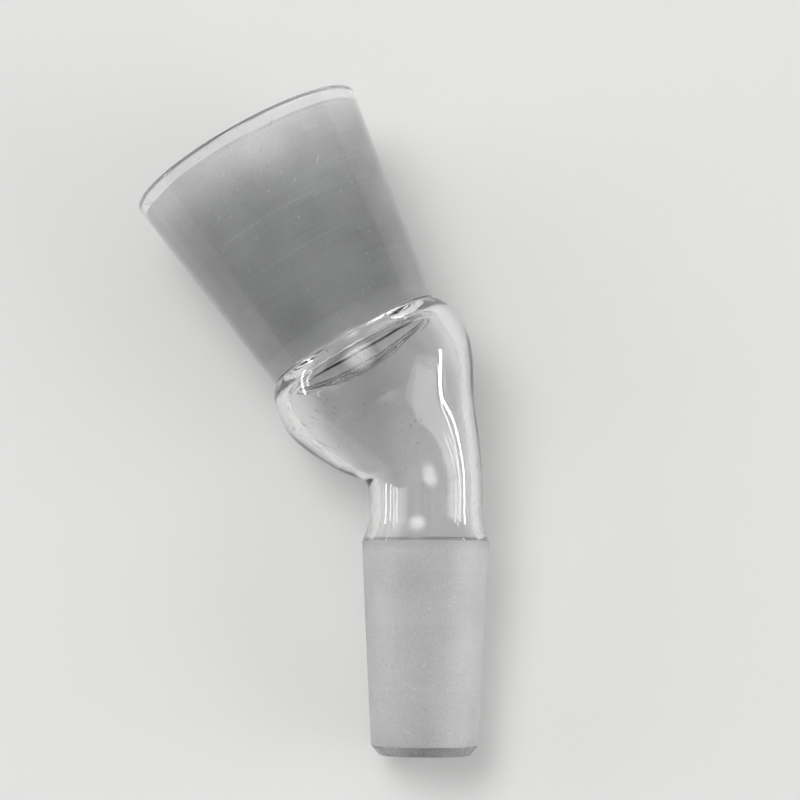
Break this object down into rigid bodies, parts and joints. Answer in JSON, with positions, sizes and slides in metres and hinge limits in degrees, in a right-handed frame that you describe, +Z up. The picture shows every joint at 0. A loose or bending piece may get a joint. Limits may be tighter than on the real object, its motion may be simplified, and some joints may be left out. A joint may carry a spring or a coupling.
{
  "type": "glass receiver adapter",
  "caption": "Bent glass adapter with a wide ground socket, a clear bulb and neck, and a slim ground male taper joint, lying on its side.",
  "frame": {"origin": "on the surface the piece lies on, under the middle of its box", "axes": "+Z up; the male axis lies over +Y, its tip towards -Y and 8.9 degrees down; the socket opens towards +Y and -X"},
  "size_m": [0.0404, 0.0768, 0.0281],
  "materials": {
    "glass": "clear borosilicate glass, finely ground on the outside of the male cone and the inside of the socket"
  },
  "bodies": {
    "root": {"adapter": "glass"}
  },
  "joints": []
}
